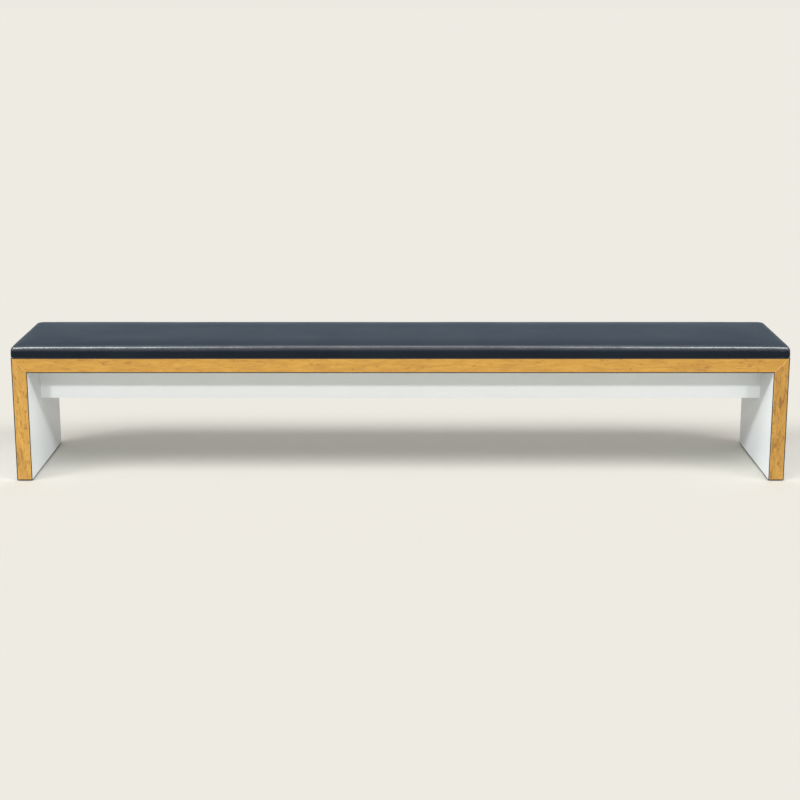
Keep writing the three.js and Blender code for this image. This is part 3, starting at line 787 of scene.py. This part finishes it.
# sizes become the tree's named inputs; the tree ends by making real meshes in one finish
def hardwareTree(name, sizes, makePart):
    inputs = [("Points", "Geometry", None), ("Finish", "Material", None)]
    inputs += [(label, "Int" if isinstance(value, int) else "Float", value) for label, value in sizes.items()]
    tree, given, out = newTree(name, "GeometryNodeTree", inputs, [("Geometry", "Geometry")])
    axis = put(tree, "GeometryNodeInputNamedAttribute", {"Name": "axis"},
               data_type="FLOAT_VECTOR").outputs["Attribute"]
    turn = put(tree, "FunctionNodeAlignRotationToVector", {"Vector": axis}, axis="Z").outputs[0]
    placed = put(tree, "GeometryNodeInstanceOnPoints", {
        "Points": given["Points"], "Instance": makePart(tree, given), "Rotation": turn})
    finishTree(tree, placed.outputs[0], given["Finish"], out["Geometry"])
    return tree


def finishTree(tree, instances, finish, out):
    solid = put(tree, "GeometryNodeRealizeInstances", {"Geometry": instances})
    painted = put(tree, "GeometryNodeSetMaterial", {"Geometry": solid.outputs[0], "Material": finish})
    tree.links.new(painted.outputs[0], out)


hardwareCorner = math.radians(35)      # steeper corners stay crisp


def setHardware(name, tree, finish, spots, sizes=None):
    points = bpy.data.meshes.new(name + "Points")
    points.from_pydata([place for place, axis in spots], [], [])
    axes = points.attributes.new("axis", "FLOAT_VECTOR", "POINT")
    for item, (place, axis) in zip(axes.data, spots):
        item.vector = axis
    holder = bpy.data.objects.new(name + "Points", points)
    scene.collection.objects.link(holder)
    drawn = holder.modifiers.new("draw", "NODES")
    drawn.node_group = tree
    values = {"Finish": finishes[finish], **(sizes or {})}
    for socket in tree.interface.items_tree:
        if socket.item_type == "SOCKET" and socket.in_out == "INPUT" and socket.name in values:
            drawn[socket.identifier] = values[socket.name]
    mesh = bpy.data.meshes.new_from_object(holder.evaluated_get(bpy.context.evaluated_depsgraph_get()))
    bpy.data.objects.remove(holder)
    bpy.data.meshes.remove(points)
    mesh.name = name
    for attribute in list(mesh.attributes):
        if attribute.name in ("axis", "UVMap"):
            mesh.attributes.remove(attribute)
    mesh.shade_smooth()
    mesh.set_sharp_from_angle(angle=hardwareCorner)
    return addPiece(name, mesh, finishes[finish])


def midOf(node):
    low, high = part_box(node)
    return (low + high) / 2


def underside(node):
    middle = midOf(node)
    return Vector((middle.x, middle.y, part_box(node)[0].z))


# pad bolts: socket heads under the top, threaded up into tee nuts
boltSizes = {
    "Head Radius": 7 * mm, "Head Height": 4 * mm, "Head Ease": 0.6 * mm, "Shank Radius": 3 * mm,
    "Shank Length": 62 * mm, "Pitch": 1 * mm, "Thread Depth": 0.45 * mm, "Thread Rows": 380,
    "Socket Radius": 2.31 * mm, "Socket Depth": 2.5 * mm,
}


def drawBolt(tree, size):
    head = drum(tree, size["Head Radius"], size["Head Height"], 0.0, 44, 6, size["Head Ease"])
    socket = cutter(tree, size["Socket Radius"], size["Socket Depth"], 2.0, -1.0, 6)
    shank = drum(tree, size["Shank Radius"], size["Shank Length"], size["Head Height"], 14,
                 size["Thread Rows"], 0.4 * mm, threadOf(tree, size["Pitch"], size["Thread Depth"]))
    return together(tree, without(tree, head, socket), shank)


nutSizes = {
    "Barrel Radius": 4.3 * mm, "Barrel Length": 9 * mm, "Flange Radius": 9.5 * mm,
    "Flange Thickness": 1.4 * mm, "Bore Radius": 3.2 * mm,
}


def drawTeeNut(tree, size):
    tall = maths(tree, "ADD", size["Barrel Length"], size["Flange Thickness"])
    barrel = drum(tree, size["Barrel Radius"], tall, 0.0, 32, 20, 0.3 * mm)
    flange = drum(tree, size["Flange Radius"], size["Flange Thickness"], size["Barrel Length"],
                  44, 4, 0.25 * mm)
    bore = cutter(tree, size["Bore Radius"], tall, 1.2, -0.1, 28)
    return without(tree, fused(tree, barrel, flange), bore)


def makePadFixings():
    bolts = [name for name in nodes if name.startswith("pad_bolt")]
    nuts = [name for name in nodes if name.startswith("pad_tee_nut")]
    low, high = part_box(bolts[0])
    shank = high.z - low.z - boltSizes["Head Height"]
    tree = hardwareTree("padBolt", boltSizes, drawBolt)
    piece = setHardware("pad_bolts", tree, "steel", [(underside(name), (0, 0, 1)) for name in bolts],
                        {"Shank Length": shank, "Thread Rows": round(shank / boltSizes["Pitch"] * 6)})
    settle(piece, "carcass", "steel", *bolts)
    tree = hardwareTree("teeNut", nutSizes, drawTeeNut)
    piece = setHardware("tee_nuts", tree, "steel", [(underside(name), (0, 0, 1)) for name in nuts])
    settle(piece, "carcass", "steel", *nuts)
    print("pad fixings:", len(bolts), "bolts,", len(nuts), "tee nuts")


# rail joints: fluted beech dowels and slotted cams
dowelSizes = {
    "Radius": 5 * mm, "Length": 40 * mm, "Flutes": 14, "Flute Depth": 0.35 * mm, "End Ease": 0.9 * mm,
}
camSizes = {
    "Radius": 7.5 * mm, "Depth": 20 * mm, "Ease": 0.4 * mm, "Slot Length": 9 * mm, "Slot Width": 1.8 * mm,
    "Slot Depth": 2 * mm, "Bolt Radius": 3.8 * mm,
}


def drawDowel(tree, size):
    start = times(tree, size["Length"], -0.5)
    return drum(tree, size["Radius"], size["Length"], start, 56, 40, size["End Ease"],
                flutesOf(tree, size["Flutes"], size["Flute Depth"]))


# the face with the slots is at the point, and the body runs back from it
def drawCam(tree, size):
    start = times(tree, size["Depth"], -1.0)
    body = drum(tree, size["Radius"], size["Depth"], start, 48, 40, size["Ease"])
    deep = times(tree, size["Slot Depth"], 2.0)
    sides = [(size["Slot Length"], size["Slot Width"]), (size["Slot Width"], size["Slot Length"])]
    cross = fused(tree, *[slab(tree, xyz(tree, x, y, deep), (0, 0, 0)) for x, y in sides])
    bore = cutter(tree, size["Bolt Radius"], size["Radius"], 4.0, -2.0, 24)
    back = xyz(tree, z=times(tree, size["Depth"], -0.5))
    across = put(tree, "GeometryNodeTransform", {
        "Geometry": bore, "Rotation": (0, math.pi / 2, 0), "Translation": back}).outputs[0]
    return without(tree, without(tree, body, cross), across)


def makeRailJoints():
    dowels = [name for name in nodes if "dowel" in name]
    spots = []
    for name in dowels:
        low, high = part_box(name)
        spots.append((midOf(name), (1, 0, 0) if high.x - low.x > high.z - low.z else (0, 0, 1)))
    piece = setHardware("fluted_dowels", hardwareTree("dowel", dowelSizes, drawDowel), "beech", spots)
    settle(piece, "carcass", "beech", *dowels)
    cams = ["left_cam", "right_cam"]
    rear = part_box(cams[0])[1].y
    spots = [(Vector((midOf(name).x, rear, midOf(name).z)), (0, 1, 0)) for name in cams]
    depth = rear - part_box(cams[0])[0].y
    tree = hardwareTree("cam", camSizes, drawCam)
    piece = setHardware("slotted_cams", tree, "zinc", spots, {"Depth": depth})
    settle(piece, "carcass", "zinc", *cams)
    print("rail joints:", len(dowels), "dowels,", len(cams), "cams")


# levellers: sleeve in the leg, threaded stud with its hexagon, ribbed foot
sleeveSizes = {
    "Radius": 7 * mm, "Length": 31.5 * mm, "Ribs": 20, "Rib Depth": 0.3 * mm, "Flange Radius": 11 * mm,
    "Flange Thickness": 1.5 * mm, "Bore Radius": 4.3 * mm,
}
studSizes = {
    "Radius": 4 * mm, "Length": 38 * mm, "Pitch": 1.25 * mm, "Thread Depth": 0.6 * mm, "Thread Rows": 243,
    "Hex Radius": 7.506 * mm, "Hex Height": 5 * mm, "Hex Low": 3.3 * mm, "Spigot Radius": 3.5 * mm,
    "Rivet Radius": 5 * mm, "Rivet Low": 0.3 * mm, "Rivet Height": 0.6 * mm,
}
footSizes = {
    "Radius": 17 * mm, "Height": 3 * mm, "Ease": 0.7 * mm, "Grips": 36, "Grip Depth": 0.35 * mm,
    "Bore Radius": 3.8 * mm, "Recess Radius": 5.3 * mm, "Recess Depth": 1.2 * mm,
}


def drawSleeve(tree, size):
    ribbed = drum(tree, size["Radius"], size["Length"], 0.0, 80, 60, 0.4 * mm,
                  flutesOf(tree, size["Ribs"], size["Rib Depth"]))
    flange = drum(tree, size["Flange Radius"], size["Flange Thickness"], 0.0, 48, 5, 0.3 * mm)
    bore = cutter(tree, size["Bore Radius"], size["Length"], 1.2, -0.1, 36)
    return without(tree, fused(tree, ribbed, flange), bore)


def drawStud(tree, size):
    hexTop = maths(tree, "ADD", size["Hex Low"], size["Hex Height"])
    rivetTop = maths(tree, "ADD", size["Rivet Low"], size["Rivet Height"])
    shank = drum(tree, size["Radius"], size["Length"], hexTop, 24, size["Thread Rows"], 0.6 * mm,
                 threadOf(tree, size["Pitch"], size["Thread Depth"]))
    hexagon = drum(tree, size["Hex Radius"], size["Hex Height"], size["Hex Low"], 6, 10, 0.5 * mm)
    spigotLength = maths(tree, "SUBTRACT", size["Hex Low"], rivetTop)
    spigot = drum(tree, size["Spigot Radius"], spigotLength, rivetTop, 32)
    rivet = drum(tree, size["Rivet Radius"], size["Rivet Height"], size["Rivet Low"], 36, 3, 0.2 * mm)
    return together(tree, shank, hexagon, spigot, rivet)


def drawFoot(tree, size):
    disc = drum(tree, size["Radius"], size["Height"], 0.0, 144, 5, size["Ease"],
                flutesOf(tree, size["Grips"], size["Grip Depth"]))
    bore = cutter(tree, size["Bore Radius"], size["Height"], 2.0, -0.5, 36)
    recess = cutter(tree, size["Recess Radius"], size["Recess Depth"], 2.0, -1.0, 40)
    return without(tree, without(tree, disc, bore), recess)


def makeLevellers():
    up = (0, 0, 1)
    sleeves = [name for name in nodes if name.endswith("leveller_sleeve")]
    low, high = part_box(sleeves[0])
    tree = hardwareTree("sleeve", sleeveSizes, drawSleeve)
    piece = setHardware("leveller_sleeves", tree, "zinc", [(underside(name), up) for name in sleeves],
                        {"Length": high.z - low.z})
    settle(piece, "carcass", "steel", *sleeves)
    studTree = hardwareTree("stud", studSizes, drawStud)
    footTree = hardwareTree("foot", footSizes, drawFoot)
    for sleeve in sleeves:
        corner = sleeve.replace("_leveller_sleeve", "")
        middle = midOf(sleeve)
        floorSpot = [(Vector((middle.x, middle.y, 0)), up)]
        piece = setHardware(corner + "_threaded_stud", studTree, "steel", floorSpot)
        settle(piece, corner + "_stud", "steel", corner + "_leveller_stud")
        piece = setHardware(corner + "_ribbed_foot", footTree, "nylon", floorSpot)
        settle(piece, corner + "_foot", "nylon", corner + "_leveller_foot")
    print("levellers:", len(sleeves))


# under the pad: dust cloth with a row of staples round its edge
stapleInset = 36 * mm
stapleLift = 0.06 * mm
stapleSizes = {
    "Row Length": 2426 * mm, "Row Width": 351 * mm, "Spacing": 38 * mm, "Crown": 10 * mm, "Wire": 0.7 * mm,
    "Thickness": 0.3 * mm, "Height": 410.06 * mm,
}


def makeStaples():
    inputs = [("Points", "Geometry", None), ("Finish", "Material", None)]
    inputs += [(label, "Float", value) for label, value in stapleSizes.items()]
    tree, given, out = newTree("stapleRow", "GeometryNodeTree", inputs, [("Geometry", "Geometry")])
    edge = put(tree, "GeometryNodeCurvePrimitiveQuadrilateral", {
        "Width": given["Row Length"], "Height": given["Row Width"]}, mode="RECTANGLE")
    spacing = {"Curve": edge.outputs[0], "Length": given["Spacing"]}
    spaced = put(tree, "GeometryNodeResampleCurve", spacing, mode="LENGTH")
    ahead = put(tree, "GeometryNodeInputTangent").outputs[0]
    turn = put(tree, "FunctionNodeAlignRotationToVector", {"Vector": ahead}, axis="X").outputs[0]
    size = xyz(tree, given["Crown"], given["Wire"], given["Thickness"])
    lift = xyz(tree, 0.0, padMidY, maths(tree, "MULTIPLY_ADD", given["Thickness"], 0.5, given["Height"]))
    row = put(tree, "GeometryNodeInstanceOnPoints", {
        "Points": spaced.outputs[0], "Instance": slab(tree, size, (0, 0, 0)), "Rotation": turn})
    placed = put(tree, "GeometryNodeTransform", {"Geometry": row.outputs[0], "Translation": lift})
    finishTree(tree, placed.outputs[0], given["Finish"], out["Geometry"])
    piece = setHardware("hem_staples", tree, "zinc", [((0, 0, 0), (0, 0, 1))], {
        "Row Length": coverHigh.x - coverLow.x - 2 * stapleInset,
        "Row Width": coverHigh.y - coverLow.y - 2 * stapleInset,
        "Height": coverLow.z + stapleLift})
    settle(piece, "carcass", "steel")


def makeDustCloth():
    node = "pad_dust_cover"
    cloth = addPiece("dust_cloth", easedMesh("dust_cloth", node, 0.15 * mm), finishes["dustCloth"])
    settle(cloth, "carcass", "dust_cloth", node)


makePadFixings()
makeRailJoints()
makeLevellers()
makeStaples()
makeDustCloth()


# pieces inside that keep their CAD form
carried = {
    "chipboard": ["top_core", "left_side_core", "right_side_core"],
    "plywood": ["left_mitre_spline", "right_mitre_spline", "pad_base_board"],
    "steel": ["left_cam_bolt", "right_cam_bolt"],
}
for finish, names in carried.items():
    for name in names:
        nodes[name].data.materials.clear()
        nodes[name].data.materials.append(finishes[finish])
print("carried CAD pieces:", sum(len(names) for names in carried.values()))


# floor, light and camera
stageLook = {
    "paper": (0.838, 0.815, 0.753, 1),
    "ambient": 0.47,
}


def makeFloor():
    mesh = bpy.data.meshes.new("floor")
    reach = 400.0
    corners = [(-reach, -reach, 0), (reach, -reach, 0), (reach, reach, 0), (-reach, reach, 0)]
    mesh.from_pydata(corners, [], [(0, 1, 2, 3)])
    paper = newMaterial("floorPaper", Base_Color=stageLook["paper"], Roughness=1.0, Specular_IOR_Level=0.0)
    mesh.materials.append(paper[0])
    floor = bpy.data.objects.new("floor", mesh)
    scene.collection.objects.link(floor)
    return floor


# each lamp shines along (sideways, into, -drop), where into, towards the rear, is 1 unless given
# the four high lamps alone reach the floor and cast the shadow there
lamps = [
    {"name": "overLeft", "sideways": 1.5, "drop": 1.7, "strength": 0.75, "spread": 24, "lights": "all"},
    {"name": "overRight", "sideways": -1.5, "drop": 1.7, "strength": 0.58, "spread": 24, "lights": "all"},
    {"name": "keyLeft", "sideways": 0.6, "drop": 1.45, "strength": 0.58, "spread": 30, "lights": "all"},
    {"name": "keyRight", "sideways": -0.6, "drop": 1.45, "strength": 0.46, "spread": 30, "lights": "all"},
    {"name": "sideLeft", "sideways": 3.0, "drop": 0.88, "strength": 1.5, "spread": 3, "lights": "bench",
     "tint": (0.94, 0.975, 1.0)},
    {"name": "sideRight", "sideways": -3.0, "drop": 0.9, "strength": 1.06, "spread": 3, "lights": "bench",
     "tint": (0.94, 0.975, 1.0)},
    {"name": "lowLeft", "sideways": 0.18, "drop": 0.45, "strength": 0.76, "spread": 3, "lights": "bench"},
    {"name": "lowRight", "sideways": -0.24, "drop": 0.45, "strength": 0.52, "spread": 3, "lights": "bench"},
    {"name": "rear", "sideways": 0.0, "into": -1, "drop": 1.0, "strength": 0.95, "spread": 24,
     "lights": "bench"},
    {"name": "glintLeft", "sideways": 0.25, "into": -0.12, "drop": 1.0, "strength": 1.05, "spread": 14,
     "lights": "pad", "tint": (0.84, 0.93, 1.0)},
    {"name": "glintRight", "sideways": -0.25, "into": -0.12, "drop": 1.0, "strength": 0.9, "spread": 14,
     "lights": "pad", "tint": (0.84, 0.93, 1.0)},
]


def makeLights(floor):
    spared = bpy.data.collections.new("spared")
    spared.objects.link(floor)
    spared.collection_objects[0].light_linking.link_state = "EXCLUDE"
    padOnly = bpy.data.collections.new("padOnly")
    padOnly.objects.link(bpy.data.objects["seat_pad"])
    reach = {"all": None, "bench": spared, "pad": padOnly}
    for lamp in lamps:
        light = bpy.data.lights.new(lamp["name"], "SUN")
        light.energy = lamp["strength"]
        light.angle = math.radians(lamp["spread"])
        light.color = lamp.get("tint", (1, 1, 1))
        holder = bpy.data.objects.new(lamp["name"], light)
        along = Vector((lamp["sideways"], lamp.get("into", 1), -lamp["drop"]))
        holder.rotation_euler = along.to_track_quat("-Z", "Y").to_euler()
        holder.light_linking.receiver_collection = reach[lamp["lights"]]
        scene.collection.objects.link(holder)
    world = bpy.data.worlds.new("studio")
    scene.world = world
    world.use_nodes = True
    tree = world.node_tree
    tree.nodes.clear()
    rays = put(tree, "ShaderNodeLightPath").outputs
    seen = maths(tree, "MAXIMUM", rays["Is Camera Ray"],
                 maths(tree, "MAXIMUM", rays["Is Glossy Ray"], rays["Is Transmission Ray"]))
    ambient = put(tree, "ShaderNodeBackground", {"Color": (1, 1, 1, 1), "Strength": stageLook["ambient"]})
    paper = put(tree, "ShaderNodeBackground", {"Color": stageLook["paper"], "Strength": 1.0})
    mixed = put(tree, "ShaderNodeMixShader", {0: seen, 1: ambient.outputs[0], 2: paper.outputs[0]})
    put(tree, "ShaderNodeOutputWorld", {"Surface": mixed.outputs[0]})


view = {
    "toFront": 5.283,       # camera to the plane of the oak edges
    "height": 1.521,
    "pitchDown": 13.31,
    "sideways": -0.0014,
    "focalPixels": 1683,
    "imageWidth": 800,
}


def makeCamera():
    lens = bpy.data.cameras.new("camera")
    lens.sensor_width = 36
    lens.lens = view["focalPixels"] / view["imageWidth"] * lens.sensor_width
    lens.clip_end = 1500
    camera = bpy.data.objects.new("camera", lens)
    camera.location = (view["sideways"], cadBox[0].y - view["toFront"], view["height"])
    camera.rotation_euler = (math.radians(90 - view["pitchDown"]), 0, 0)
    scene.collection.objects.link(camera)
    scene.camera = camera


makeLights(makeFloor())
makeCamera()
scene.view_settings.view_transform = "Standard"
print("stage: floor, lamps, camera")
